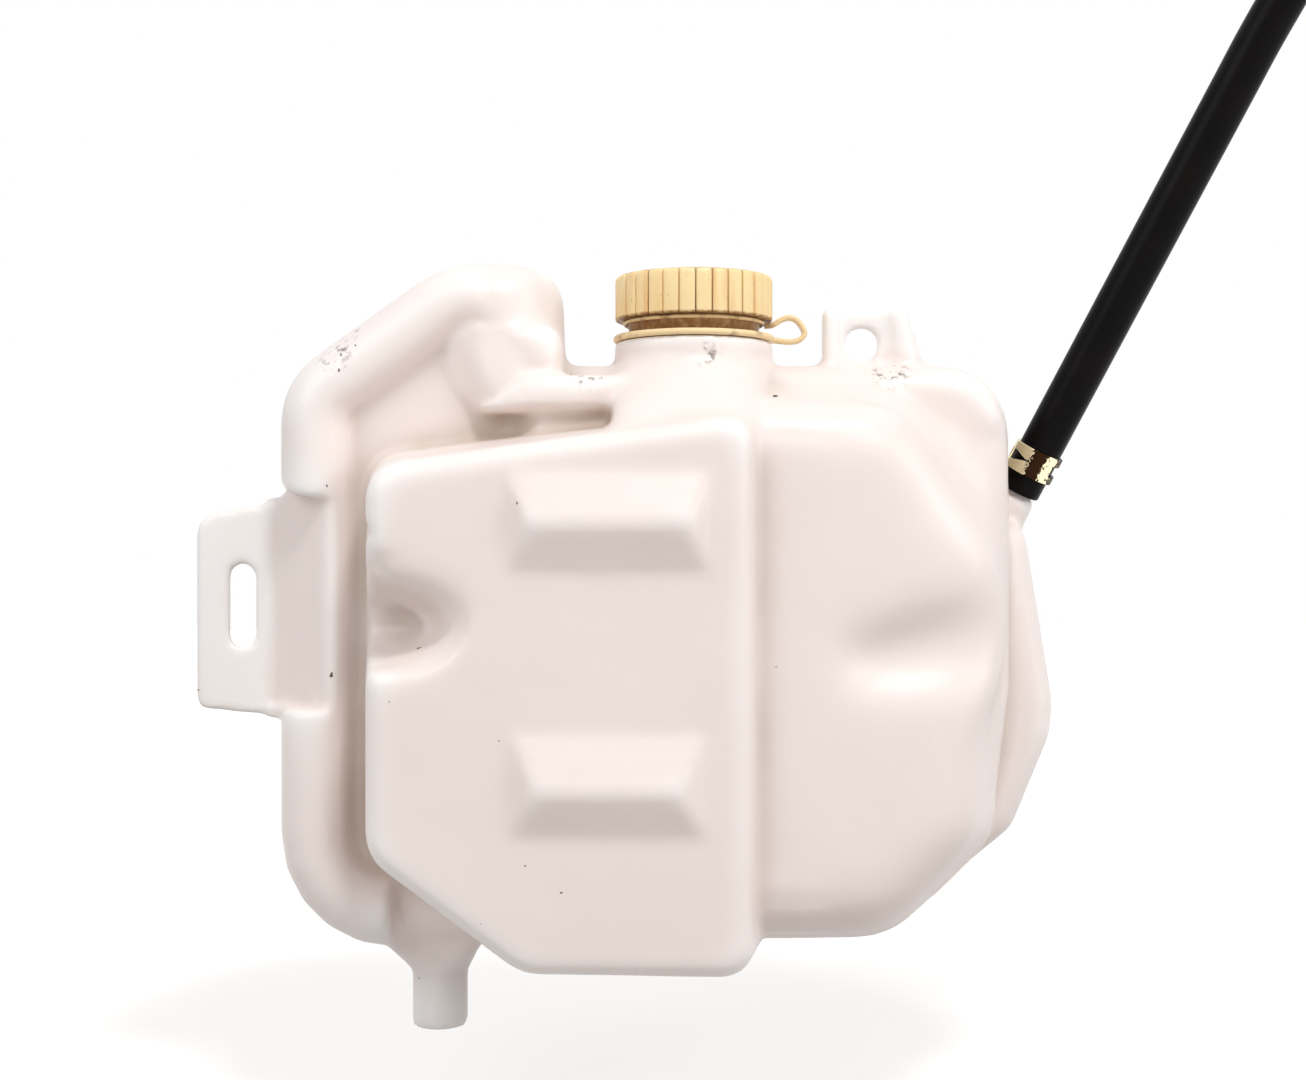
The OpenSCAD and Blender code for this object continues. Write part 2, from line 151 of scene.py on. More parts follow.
def hoseMesh(spec):
    steps, gap = spec["rings"], spec["innerEvery"]
    centres = [alongPath(spec["route"], k / steps) for k in range(steps + 1)]
    outer, inner, edge = spec["diameter"] / 2, spec["bore"] / 2, spec["edge"]
    # each row of the tube is a centre, a radius and a shift along the hose
    rows = [(0, inner, 0), (0, outer - edge, 0), (0, outer, edge)]
    rows += [(k, outer, 0) for k in range(1, steps)]
    rows += [(steps, outer, -edge), (steps, outer - edge, 0), (steps, inner, 0)]
    rows += [(k, inner, 0) for k in range(steps - gap // 2, 0, -gap)]
    points = []
    for k, radius, shift in rows:
        ahead = centres[min(k + 1, steps)] - centres[max(k - 1, 0)]
        ahead.normalize()
        side = ahead.cross(Vector((0, 1, 0))).normalized()
        up = side.cross(ahead)
        for s in range(spec["sides"]):
            a = 2 * math.pi * s / spec["sides"]
            points.append(centres[k] + ahead * shift + (side * math.cos(a) + up * math.sin(a)) * radius)
    n, sides = len(rows), spec["sides"]
    faces = []
    for r in range(n):
        for s in range(sides):
            a, b = r * sides + s, r * sides + (s + 1) % sides
            c, d = (r + 1) % n * sides + (s + 1) % sides, (r + 1) % n * sides + s
            faces.append((a, b, c, d))
    return points, faces


hosePiece = meshObject("hose", *hoseMesh(hose))
hosePiece.data.set_sharp_from_angle(angle=math.radians(50))
hoseRoute = [Vector(place) for place in hose["route"]]

# tank skin
tank = {
    "cell": 0.00142,         # side of one cell of the grid that the skin is made on
    "margin": 8,             # empty cells kept round the tank
    "cavityBlur": 1.6,       # cells; tells a pocket of the inside from the open air
    "softEdge": 0.0015,      # how far blow moulding rounds edges and creases
    "crispEdge": 0.0007,     # the same at the neck, the ears and the spigots
    "gentleEdge": 0.0055,    # the same on the dome and in the dimples, which are drawn in softly
    "creaseReach": 0.0065,   # how far round a point the skin is felt for hollows, where shade is painted on
    # where the skin is crisp: each zone is ramps of a measure, from none to whole
    "crispZones": [
        [("x", -0.184, -0.188)],                                  # left ear
        [("z", -0.006, -0.002), ("x", -0.018, -0.014)],           # upper ear
        [("z", -0.0075, -0.0035), ("fromNeck", 0.031, 0.028)],    # neck
        [("z", -0.197, -0.202), ("fromOutlet", 0.018, 0.014)],    # outlet
        [("x", 0.049, 0.053), ("z", -0.052, -0.046)],             # overflow spigot
    ],
    # where it is gentle: the dome, and balls round the two dimples and the horn's inner end
    "domeZone": [("x", -0.026, -0.010), ("z", -0.016, -0.032), ("y", -0.004, -0.012)],
    "gentleBalls": [((0.016, -0.036, -0.088), 0.034), ((-0.138, -0.045, -0.083), 0.027),
                    ((-0.1085, -0.014, 0.013), 0.018), ((-0.119, -0.020, -0.008), 0.018)],
    "gentleCore": 0.6,       # the share of a ball that is gentle all through
    # the flat facet on the band that carries the left ear; its head rises towards the back
    "facet": {"plane": ((-0.648, -0.762, 0.0), 0.1224), "foot": -0.114, "head": -0.050,
              "slope": 0.4, "front": -0.022, "back": -0.0025},
    # the floor between the ledge and the block, raised to a shallow crease: planes that bound it
    "apron": [((0.0, -1.0, 0.0), 0.0215), ((0.0, 1.0, 0.0), 0.0), ((-0.6, -0.8, 0.0), 0.0780),
              ((1.0, 0.0, 0.0), -0.058), ((0.0, 0.0, 1.0), -0.0180), ((0.0, 0.0, -1.0), 0.0480)],
    # the pillow under the horn's inner end: its middle and half sizes
    "hornPad": ((-0.1085, -0.0060, -0.0020), (0.0140, 0.0160, 0.0120)),
    # the block's left wall is run on over the solid's dimple, from a level just below it
    "leftWall": {"x": (-0.156, -0.112), "z": (-0.120, -0.060), "back": -0.012, "level": -0.122},
    # then a scoop that opens to the channel is cut there
    "scoop": ((-0.1560, -0.0480, -0.0875), (0.0330, 0.0300, 0.0125)),
    # the right dimple is drawn in less deeply than the solid's
    "rightDimple": {"middle": (0.016, -0.036, -0.088), "reach": 0.036, "front": -0.0375, "share": 0.42},
    "neckAxis": (-0.0533, 0.0),
    "neckBore": 0.016,
    "neckFoot": -0.030,
    "outletAxis": (-0.134, 0.0),
    "outletBore": 0.006,
    "outletTop": -0.185,
}


def blur(field, cells):
    reach = math.ceil(cells * 3)
    weights = np.exp(-0.5 * (np.arange(-reach, reach + 1) / cells) ** 2)
    weights /= weights.sum()
    for axis in range(3):
        count = field.shape[axis]
        border = [(reach, reach) if a == axis else (0, 0) for a in range(3)]
        padded = np.pad(field, border, mode="edge")
        total = np.zeros_like(field)
        for i, weight in enumerate(weights):
            part = [slice(i, i + count) if a == axis else slice(None) for a in range(3)]
            total += np.float32(weight) * padded[tuple(part)]
        field = total
    return field


def step(values, low, high):
    # 0 below low, 1 above high, smooth between; low may be the larger
    t = np.clip((values - low) / (high - low), 0, 1)
    return t * t * (3 - 2 * t)


def planesOut(x, y, z, planes):
    # distance outside a convex block, from its planes
    return np.maximum.reduce([nx * x + ny * y + nz * z - out for (nx, ny, nz), out in planes])


def ballOut(x, y, z, ball):
    # distance outside an ellipsoid, near enough at its surface
    (cx, cy, cz), (rx, ry, rz) = ball
    share = np.sqrt(((x - cx) / rx) ** 2 + ((y - cy) / ry) ** 2 + ((z - cz) / rz) ** 2)
    return (share - 1) * min(rx, ry, rz)


def apartFrom(x, y, z, middle):
    return np.sqrt((x - middle[0]) ** 2 + (y - middle[1]) ** 2 + (z - middle[2]) ** 2)


def fullness(out, cell):
    # how full each cell is, from its distance outside a form
    return np.clip(0.5 - out / cell, 0, 1)


def between(values, ends):
    return np.logical_and(values > ends[0], values < ends[1])


def reshape(full, x, y, z, spec):
    # soft forms of the moulding that the plain solid only has in outline
    cell = spec["cell"]
    full = np.maximum(full, fullness(planesOut(x, y, z, spec["apron"]), cell))
    full = np.maximum(full, fullness(ballOut(x, y, z, spec["hornPad"]), cell))
    facet = spec["facet"]
    below = z < facet["head"] + facet["slope"] * (y - facet["front"])
    ahead = np.logical_and.reduce([z > facet["foot"], below, y < facet["back"]])
    cut = np.minimum(full, fullness(planesOut(x, y, z, [facet["plane"]]), cell))
    full = np.where(ahead, cut, full)
    wall = spec["leftWall"]
    across, deep, up = x[:, 0, 0], y[0, :, 0], z[0, 0, :]
    inX, inY, inZ = between(across, wall["x"]), deep < wall["back"], between(up, wall["z"])
    level = int(np.argmin(np.abs(up - wall["level"])))
    full[np.ix_(inX, inY, inZ)] = full[:, :, level:level + 1][np.ix_(inX, inY, [0])]
    full = np.minimum(full, fullness(-ballOut(x, y, z, spec["scoop"]), cell))
    dimple = spec["rightDimple"]
    near = np.logical_and(apartFrom(x, y, z, dimple["middle"]) < dimple["reach"], y > dimple["front"])
    return np.where(near, np.maximum(full, dimple["share"]), full).astype(np.float32)


def cellsOf(node, spec):
    # the CAD node's distance field on a grid, with the grid's corner and each cell's place
    shape = bmesh.new()
    shape.from_mesh(node.data)
    bmesh.ops.remove_doubles(shape, verts=shape.verts, dist=2e-6)
    bmesh.ops.triangulate(shape, faces=shape.faces)
    corners = np.array([v.co for v in shape.verts], np.float32)
    shape.verts.index_update()
    triangles = np.array([[v.index for v in f.verts] for f in shape.faces], np.uint32)
    shape.free()
    cell = spec["cell"]
    grid = openvdb.FloatGrid.createLevelSetFromPolygons(
        corners, triangles=triangles, transform=openvdb.createLinearTransform(cell), halfWidth=4.0)
    low = np.floor(corners.min(0) / cell).astype(int) - spec["margin"]
    high = np.ceil(corners.max(0) / cell).astype(int) + spec["margin"]
    field = np.zeros(high - low + 1, np.float32)
    grid.copyToArray(field, ijk=tuple(int(v) for v in low))
    lines = [(np.arange(low[a], high[a] + 1) * cell).astype(np.float32) for a in range(3)]
    return field, low, np.meshgrid(*lines, indexing="ij")


def filledIn(field, spec):
    # the space inside the tank counts as full, so that only its outer skin is softened
    solid = field < 0
    envelope = np.logical_and(np.maximum.accumulate(solid, 1),
                              np.maximum.accumulate(solid[:, ::-1], 1)[:, ::-1])
    cavity = np.logical_and(envelope, ~solid)
    inward = blur(cavity.astype(np.float32), spec["cavityBlur"])
    outward = blur((~envelope).astype(np.float32), spec["cavityBlur"])
    full = fullness(field, spec["cell"])
    full[np.logical_or(cavity, np.logical_and(inward > outward, envelope))] = 1
    return full


def tankSkin(node, spec):
    cell = spec["cell"]
    field, low, (x, y, z) = cellsOf(node, spec)
    full = reshape(filledIn(field, spec), x, y, z, spec)
    edges = ("softEdge", "crispEdge", "gentleEdge", "creaseReach")
    soft, crisp, gentle, wide = [blur(full, spec[edge] / cell) for edge in edges]
    (nx, ny), (ox, oy) = spec["neckAxis"], spec["outletAxis"]
    fromNeck, fromOutlet = np.hypot(x - nx, y - ny), np.hypot(x - ox, y - oy)
    measures = {"x": x, "y": y, "z": z, "fromNeck": fromNeck, "fromOutlet": fromOutlet}

    def zone(ramps):
        return math.prod(step(measures[name], none, whole) for name, none, whole in ramps)

    isCrisp = np.maximum.reduce([zone(ramps) for ramps in spec["crispZones"]])
    isGentle = zone(spec["domeZone"])
    for middle, reach in spec["gentleBalls"]:
        ball = step(apartFrom(x, y, z, middle), reach, reach * spec["gentleCore"])
        isGentle = np.maximum(isGentle, ball)
    soft = soft * (1 - isGentle) + gentle * isGentle
    level = 0.5 - (soft * (1 - isCrisp) + crisp * isCrisp)
    # the neck and the outlet are open
    neckHole = np.maximum(fromNeck - spec["neckBore"], spec["neckFoot"] - z) / cell
    outletHole = np.maximum(fromOutlet - spec["outletBore"], z - spec["outletTop"]) / cell
    for hole in (neckHole, outletHole):
        level = np.maximum(level, np.clip(-hole, -0.5, 0.5))
    skin = openvdb.FloatGrid(0.5)
    skin.transform = openvdb.createLinearTransform(cell)
    skin.copyFromArray(level.astype(np.float32), ijk=tuple(int(v) for v in low))
    points, quads = skin.convertToQuads(0.0)
    return points, quads, (wide, low, cell)


def sampleField(values, low, cell, points):
    # a grid's values at given points, mixed from the eight nearest cells
    place = points / cell - low
    base = np.clip(np.floor(place).astype(int), 0, np.array(values.shape) - 2)
    f = place - base
    total = np.zeros(len(points))
    for corner in range(8):
        bit = [(corner >> a) & 1 for a in range(3)]
        weight = np.prod([f[:, a] if bit[a] else 1 - f[:, a] for a in range(3)], axis=0)
        total += weight * values[base[:, 0] + bit[0], base[:, 1] + bit[1], base[:, 2] + bit[2]]
    return total


tankPoints, tankQuads, tankWide = tankSkin(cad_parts["tank_body"], tank)
tankPiece = meshObject("tank", tankPoints, tankQuads)
tankCorners = np.array([v.co for v in tankPiece.data.vertices])
hollow = sampleField(*tankWide, tankCorners)
hollowData = tankPiece.data.attributes.new("hollow", "FLOAT", "POINT")
hollowData.data.foreach_set("value", hollow.astype(np.float32))
print(f"tank: {len(tankPiece.data.polygons)} quads")


# Geometry Nodes: one part laid round an axis, or one at each point
def nodeTree(name, sockets):
    tree = bpy.data.node_groups.new(name, "GeometryNodeTree")
    ids = {}
    for label, kind in sockets:
        socket = tree.interface.new_socket(label, in_out="INPUT", socket_type="NodeSocket" + kind)
        ids[label] = socket.identifier
    tree.interface.new_socket("Geometry", in_out="OUTPUT", socket_type="NodeSocketGeometry")
    source = addNode(tree, "NodeGroupInput")
    return tree, ids, source


def endTree(tree, geometry, material):
    real = addNode(tree, "GeometryNodeRealizeInstances", {}, {"Geometry": geometry})
    coated = addNode(tree, "GeometryNodeSetMaterial", {},
                     {"Geometry": real.outputs[0], "Material": material})
    output = addNode(tree, "NodeGroupOutput")
    tree.links.new(coated.outputs[0], output.inputs[0])


def ringTree():
    # a part that is laid round an upright axis, joined to the body that carries it
    tree, ids, source = nodeTree("partsRoundAxis", [
        ("Body", "Geometry"), ("Part", "Object"), ("Count", "Int"), ("Axis", "Vector"),
        ("Finish", "Material")])
    points = addNode(tree, "GeometryNodePoints", {},
                     {"Count": source.outputs["Count"], "Position": source.outputs["Axis"]})
    turn = maths(tree, "DIVIDE", 2 * math.pi, source.outputs["Count"])
    angle = maths(tree, "MULTIPLY", addNode(tree, "GeometryNodeInputIndex").outputs[0], turn)
    rotation = addNode(tree, "ShaderNodeCombineXYZ", {}, {"Z": angle})
    part = addNode(tree, "GeometryNodeObjectInfo", {}, {"Object": source.outputs["Part"]})
    copies = addNode(tree, "GeometryNodeInstanceOnPoints", {}, {
        "Points": points.outputs[0], "Instance": part.outputs["Geometry"], "Rotation": rotation.outputs[0]})
    both = addNode(tree, "GeometryNodeJoinGeometry", {}, {"Geometry": copies.outputs[0]})
    tree.links.new(source.outputs["Body"], both.inputs[0])
    endTree(tree, both.outputs[0], source.outputs["Finish"])
    return tree, ids


def fleckTree():
    # a fleck at each point, laid flat on the surface and sized by its own attribute
    tree, ids, source = nodeTree("flecksOnSkin", [
        ("Places", "Geometry"), ("Fleck", "Object"), ("Finish", "Material")])
    named = "GeometryNodeInputNamedAttribute"
    facing = addNode(tree, named, {"data_type": "FLOAT_VECTOR"}, {"Name": "facing"})
    size = addNode(tree, named, {"data_type": "FLOAT"}, {"Name": "size"})
    lie = addNode(tree, "FunctionNodeAlignRotationToVector", {"axis": "Z"},
                  {"Vector": facing.outputs["Attribute"]})
    spin = addNode(tree, "FunctionNodeRandomValue", {"data_type": "FLOAT"},
                   {"Max": flecks["spin"], "Seed": flecks["seed"]})
    about = addNode(tree, "ShaderNodeCombineXYZ", {}, {"Z": spin.outputs[1]})
    laid = addNode(tree, "FunctionNodeRotateRotation", {"rotation_space": "LOCAL"},
                   {"Rotation": lie.outputs[0], "Rotate By": about.outputs[0]})
    fleck = addNode(tree, "GeometryNodeObjectInfo", {}, {"Object": source.outputs["Fleck"]})
    copies = addNode(tree, "GeometryNodeInstanceOnPoints", {}, {
        "Points": source.outputs["Places"], "Instance": fleck.outputs["Geometry"],
        "Rotation": laid.outputs[0], "Scale": size.outputs["Attribute"]})
    endTree(tree, copies.outputs[0], source.outputs["Finish"])
    return tree, ids


def grown(piece, treeAndIds, values, name):
    # runs a tree on a piece and keeps the result as a plain mesh
    tree, ids = treeAndIds
    modifier = piece.modifiers.new("grow", "NODES")
    modifier.node_group = tree
    for label, value in values.items():
        modifier[ids[label]] = value
    evaluated = piece.evaluated_get(bpy.context.evaluated_depsgraph_get())
    mesh = bpy.data.meshes.new_from_object(evaluated)
    mesh.name = name
    result = bpy.data.objects.new(name, mesh)
    scene.collection.objects.link(result)
    bpy.data.objects.remove(piece)
    return result


def turned(profile, axis, steps):
    # points and faces of a closed profile of (radius, height) turned about an upright axis
    angles = [2 * math.pi * s / steps for s in range(steps)]
    points = [(axis[0] + r * math.cos(a), axis[1] + r * math.sin(a), h) for r, h in profile for a in angles]
    n = len(profile)
    faces = [(r * steps + s, r * steps + (s + 1) % steps,
              (r + 1) % n * steps + (s + 1) % steps, (r + 1) % n * steps + s)
             for r in range(n) for s in range(steps)]
    return points, faces


def roundedBox(width, height, corner, steps=3):
    # a flat outline with round corners, as (across, up) pairs
    outline = []
    for cx, cy, start in ((1, 1, 0), (-1, 1, 90), (-1, -1, 180), (1, -1, 270)):
        for k in range(steps + 1):
            a = math.radians(start + 90 * k / steps)
            outline.append((cx * (width / 2 - corner) + corner * math.cos(a),
                            cy * (height / 2 - corner) + corner * math.sin(a)))
    return outline


# cap
cap = {
    "radius": 0.025,
    "grooveFloor": 0.0242,     # radius of the skirt between the ribs
    "ribs": 30,
    "ribWidth": 0.0048,
    "ribRoot": 0.0004,         # how far each rib is sunk in the skirt
    "skirt": 0.0075,           # height of the skirt's lower edge
    "top": 0.0215,
    "topEdge": 0.0011,         # rounding round the top
    "smallEdge": 0.0002,       # rounding of the other edges
    "collarFoot": 0.003,
    "collarTop": 0.0213,       # the collar's radius above and below
    "collarBottom": 0.0203,
    "bore": 0.0195,
    "roof": 0.019,             # height of the top's underside
    "axisGap": 1e-5,           # the middle of the top is closed by merging points this near the axis
}


def capProfile(c):
    floor, top, skirt, foot = c["grooveFloor"], c["top"], c["skirt"], c["collarFoot"]
    big, small = c["topEdge"], c["smallEdge"]
    return [
        (c["axisGap"], top + small / 2), (floor - 4 * big, top), (floor - big, top - small),
        (floor - 0.3 * big, top - 0.5 * big), (floor, top - 1.3 * big),
        (floor, skirt + 1.5 * small), (floor - 1.5 * small, skirt),
        (c["collarTop"] + small, skirt), (c["collarTop"], skirt - small),
        (c["collarBottom"] + small / 2, foot + small), (c["collarBottom"] - small / 2, foot),
        (c["bore"], foot), (c["bore"], c["roof"]), (c["axisGap"], c["roof"]),
    ]


def ribMesh(c):
    # one flat rib with round shoulders, drawn out upwards; its section is (share of width, share of depth)
    root, small, top, skirt = c["ribRoot"], c["smallEdge"], c["top"], c["skirt"]
    deep = c["radius"] - c["grooveFloor"] + root
    shoulder = [(0.5, 0), (0.49, 0.62), (0.44, 0.86), (0.35, 0.97)]
    section = [(-across, out) for across, out in shoulder] + [(0, 1)] + shoulder[::-1]
    # height, and how far the face and sides draw in there
    levels = [(skirt, 2 * small), (skirt + small, small / 2), (skirt + 3 * small, 0),
              (top - 11 * small, 0), (top - 6 * small, small / 2), (top - 3 * small, 2 * small),
              (top - 1.5 * small, 4.5 * small)]
    points = []
    for height, draw in levels:
        for across, out in section:
            radius = c["grooveFloor"] - root + out * max(deep - draw, small / 2)
            points.append((radius, across * (c["ribWidth"] - draw), height))
    n = len(section)
    faces = [(r * n + k, r * n + (k + 1) % n, (r + 1) * n + (k + 1) % n, (r + 1) * n + k)
             for r in range(len(levels) - 1) for k in range(n)]
    faces += [tuple(range(n)), tuple((len(levels) - 1) * n + k for k in range(n))]
    return points, faces


capBase = meshObject("capBase", *turned(capProfile(cap), tank["neckAxis"], 120))
rib = meshObject("rib", *ribMesh(cap))
rib.hide_render = True
capPiece = grown(capBase, ringTree(), {
    "Part": rib, "Count": cap["ribs"], "Axis": (*tank["neckAxis"], 0.0)}, "cap")
capPiece.data.set_sharp_from_angle(angle=math.radians(42))
bpy.data.objects.remove(rib)
print(f"cap: {cap['ribs']} ribs")

# tether
tether = {
    # each ring's inner and outer radius, height of its middle, and thickness
    "neckRing": (0.0211, 0.0256, 0.00165, 0.0019),
    "capRing": (0.0214, 0.0227, 0.0066, 0.0012),
    "ringEdge": 0.0005,
    "ringSteps": 96,
    "loopWidth": 0.0042,
    "loopThick": 0.0016,
    "loopCorner": 0.0006,
    "loopSteps": 48,
    # the loop's line as (distance from the neck's axis, height)
    "loop": [(0.0226, 0.0061), (0.0252, 0.0064), (0.0277, 0.0079), (0.0303, 0.0087), (0.0328, 0.0078),
             (0.0347, 0.0054), (0.0352, 0.0033), (0.0336, 0.0016), (0.0310, 0.0010), (0.0280, 0.0012),
             (0.0246, 0.0016)],
}


def flatRing(inner, outer, height, thick, axis):
    e = tether["ringEdge"]
    up, down = height + thick / 2, height - thick / 2
    profile = [(inner, down + e), (inner, up - e), (inner + e, up), (outer - e, up), (outer, up - e),
               (outer, down + e), (outer - e, down), (inner + e, down)]
    return turned(profile, axis, tether["ringSteps"])


def strap(line, width, thick, axis):
    # a flat strap along a line in the upright plane through the neck's axis
    steps = tether["loopSteps"]
    path = [(r, 0, h) for r, h in line]
    centres = [alongPath(path, k / steps) for k in range(steps + 1)]
    section = roundedBox(width, thick, tether["loopCorner"])
    points = []
    for k, centre in enumerate(centres):
        ahead = (centres[min(k + 1, steps)] - centres[max(k - 1, 0)]).normalized()
        out = Vector((-ahead.z, 0, ahead.x))
        for across, up in section:
            place = centre + out * up
            points.append((axis[0] + place.x, axis[1] + across, place.z))
    n = len(section)
    faces = [(k * n + s, k * n + (s + 1) % n, (k + 1) * n + (s + 1) % n, (k + 1) * n + s)
             for k in range(steps) for s in range(n)]
    faces += [tuple(range(n)), tuple(steps * n + s for s in range(n))]
    return points, faces


def joined(name, *shapes):
    points, faces = [], []
    for p, f in shapes:
        faces += [tuple(i + len(points) for i in face) for face in f]
        points += p
    return meshObject(name, points, faces)


tetherPiece = joined(
    "tether",
    flatRing(*tether["neckRing"], tank["neckAxis"]),
    flatRing(*tether["capRing"], tank["neckAxis"]),
    strap(tether["loop"], tether["loopWidth"], tether["loopThick"], tank["neckAxis"]),
)
tetherPiece.data.set_sharp_from_angle(angle=math.radians(50))

# spring clamp
clamp = {
    "inner": 0.0071,
    "thick": 0.0010,
    "width": 0.0090,
    "fromHoseEnd": 0.0110,
    "slotShare": 0.38,                   # height of the two slots as a share of the band
    "band": (-194, 140),                 # where the band starts and ends, in degrees from the front
    "slots": [(-100, -24), (42, 128)],   # where the two slots run; the first narrows to a point
    "taper": 40,                         # over so many degrees, down to the least share
    "least": 0.12,
    "stops": 85,                         # places along the band
    "rim": 0.04,                         # how near its edges the outer rows of faces lie, as a share
    "tangReach": 0.006,
    "tangLean": 4,                       # degrees that the tangs lean outwards
    "edge": 0.0002,
}


def clampMesh(c, start, ahead):
    # the band is laid out on a grid of angles and heights, and the slots are left out of it
    front = Vector((0, -1, 0))
    front = (front - ahead * front.dot(ahead)).normalized()
    side = ahead.cross(front)
    angles = [float(a) for a in np.linspace(*c["band"], c["stops"])]
    point = c["slots"][0][1]
    middle = start + ahead * c["fromHoseEnd"]
    shape = bmesh.new()

    def corner(radius, angle, share):
        a = math.radians(angle)
        out = front * math.cos(a) + side * math.sin(a)
        return shape.verts.new(middle + ahead * (share - 0.5) * c["width"] + out * radius)

    rows = []
    for a in angles:
        narrowed = min(1, max(c["least"], (point - a) / c["taper"])) if a < 0 else 1
        half = c["slotShare"] / 2 * narrowed
        heights = (0, c["rim"], 0.5 - half, 0.5 + half, 1 - c["rim"], 1)
        rows.append([corner(c["inner"] + 0.5 * c["thick"], a, h) for h in heights])
    for i in range(len(angles) - 1):
        for j in range(5):
            place = (angles[i] + angles[i + 1]) / 2
            if j == 2 and any(low < place < high for low, high in c["slots"]):
                continue
            shape.faces.new((rows[i][j], rows[i + 1][j], rows[i + 1][j + 1], rows[i][j + 1]))
    # the two tangs stand out at the back
    for end, sign in ((0, -1), (len(angles) - 1, 1)):
        a = math.radians(angles[end] + sign * c["tangLean"])
        out = front * math.cos(a) + side * math.sin(a)
        inner = rows[end][1:5]
        outer = [shape.verts.new(v.co + out * c["tangReach"]) for v in inner]
        for j in range(3):
            shape.faces.new((inner[j], inner[j + 1], outer[j + 1], outer[j]))
    bmesh.ops.recalc_face_normals(shape, faces=shape.faces)
    mesh = bpy.data.meshes.new("clamp")
    shape.to_mesh(mesh)
    shape.free()
    piece = bpy.data.objects.new("clamp", mesh)
    scene.collection.objects.link(piece)
    wall = piece.modifiers.new("wall", "SOLIDIFY")
    wall.thickness = c["thick"]
    wall.offset = 0
    edges = piece.modifiers.new("edges", "BEVEL")
    edges.width = c["edge"]
    edges.segments = 2
    piece.data.shade_smooth()
    return piece, middle, side


hoseAhead = (hoseRoute[1] - hoseRoute[0]).normalized()
clampPiece, clampMiddle, clampSide = clampMesh(clamp, hoseRoute[0], hoseAhead)
print("tether and clamp made")

# grime flecks, each where the line of sight through that point of the frame meets the tank
flecks = {
    "frame": (1306, 1080),
    "seed": 7,
    "spin": 6.283,       # each is turned by up to so much
    # pixels across and down the frame, and the fleck's length in millimetres
    "seen": [
        (517, 503, 1.6), (419, 648, 2.4), (389, 702, 1.2), (383, 636, 0.8), (525, 866, 1.4),
        (561, 893, 1.6), (499, 741, 1.2), (481, 924, 1.0), (776, 667, 1.2), (419, 978, 1.4),
        (327, 486, 1.6), (331, 675, 2.2), (775, 396, 4.2), (721, 416, 0.9), (341, 355, 1.6),
        (339, 370, 1.8), (355, 345, 1.4), (929, 743, 0.8), (956, 870, 0.9), (878, 380, 0.8),
        (198, 690, 1.8), (571, 374, 1.4), (597, 366, 1.3), (640, 560, 0.5), (452, 770, 0.6),
        (610, 930, 0.6), (845, 560, 0.5), (905, 640, 0.5), (700, 660, 0.5), (560, 660, 0.5),
    ],
    # a crumb one unit long: the turn and reach of each corner, its half width, and its rise and fall
    "corners": [(0.0, 1.0), (0.7, 0.8), (1.5, 1.1), (2.3, 0.7), (3.1, 1.0), (3.9, 0.9), (4.8, 0.7),
                (5.5, 1.0)],
    "halfWidth": 0.28,
    "rise": 0.09,
    "fall": -0.03,
    "sunk": 0.00005,     # how far each is let in to the skin
}


def fleckPlaces(spec, skin):
    tree = BVHTree.FromObject(skin, bpy.context.evaluated_depsgraph_get())
    wide, high = spec["frame"]
    focal = view["lens"] / view["sensor"] * wide
    eye = Vector(view["place"])
    places, facing, sizes = [], [], []
    for u, v, size in spec["seen"]:
        sight = Vector((u - wide / 2, focal, high / 2 - v)).normalized()
        hit, normal, _, _ = tree.ray_cast(eye, sight)
        if hit is not None:
            places.append(hit - normal * spec["sunk"])
            facing.append(normal)
            sizes.append(size / 1000)
    mesh = bpy.data.meshes.new("fleckPlaces")
    mesh.from_pydata(places, [], [])
    mesh.attributes.new("facing", "FLOAT_VECTOR", "POINT").data.foreach_set(
        "vector", [c for n in facing for c in n])
    mesh.attributes.new("size", "FLOAT", "POINT").data.foreach_set("value", sizes)
    piece = bpy.data.objects.new("fleckPlaces", mesh)
    scene.collection.objects.link(piece)
    return piece


def fleckMesh(spec):
    # a thin uneven crumb
    points = [(0.5 * math.cos(a) * reach, spec["halfWidth"] * math.sin(a) * reach, 0)
              for a, reach in spec["corners"]]
    n = len(points)
    points += [(0.05, 0, spec["rise"]), (0, 0, spec["fall"])]
    faces = [(i, (i + 1) % n, n) for i in range(n)] + [((i + 1) % n, i, n + 1) for i in range(n)]
    return points, faces


fleck = meshObject("fleck", *fleckMesh(flecks))
fleckPiece = grown(fleckPlaces(flecks, tankPiece), fleckTree(), {"Fleck": fleck}, "flecks")
bpy.data.objects.remove(fleck)
fleckFaces = 2 * len(flecks["corners"])
print(f"flecks: {len(fleckPiece.data.polygons) // fleckFaces} of {len(flecks['seen'])}")


# materials: the sizes of patterns are in millimetres
def objectPlace(tree):
    return addNode(tree, "ShaderNodeTexCoord").outputs["Object"]


def masked(tree, value, low, high, least=0.0, most=1.0):
    # a smooth ramp of a value from low to high
    ramp = {"Value": value, "From Min": low, "From Max": high, "To Min": least, "To Max": most}
    return addNode(tree, "ShaderNodeMapRange", {"interpolation_type": "SMOOTHSTEP"}, ramp).outputs["Result"]


def vectors(tree, operation, first, second):
    return addNode(tree, "ShaderNodeVectorMath", {"operation": operation}, {0: first, 1: second}).outputs


def blended(tree, factor, first, second):
    # two colours mixed; each is a hex code or another node's output
    pair = [srgb(c) if isinstance(c, str) else c for c in (first, second)]
    mix = addNode(tree, "ShaderNodeMix", {"data_type": "RGBA"}, {"Factor": factor, 6: pair[0], 7: pair[1]})
    return mix.outputs[2]


def noise(tree, place, size, detail=2.0):
    # cloudy noise with patches so many millimetres wide
    inputs = {"Vector": place, "Scale": 1000 / size, "Detail": detail}
    return addNode(tree, "ShaderNodeTexNoise", {}, inputs).outputs["Fac"]


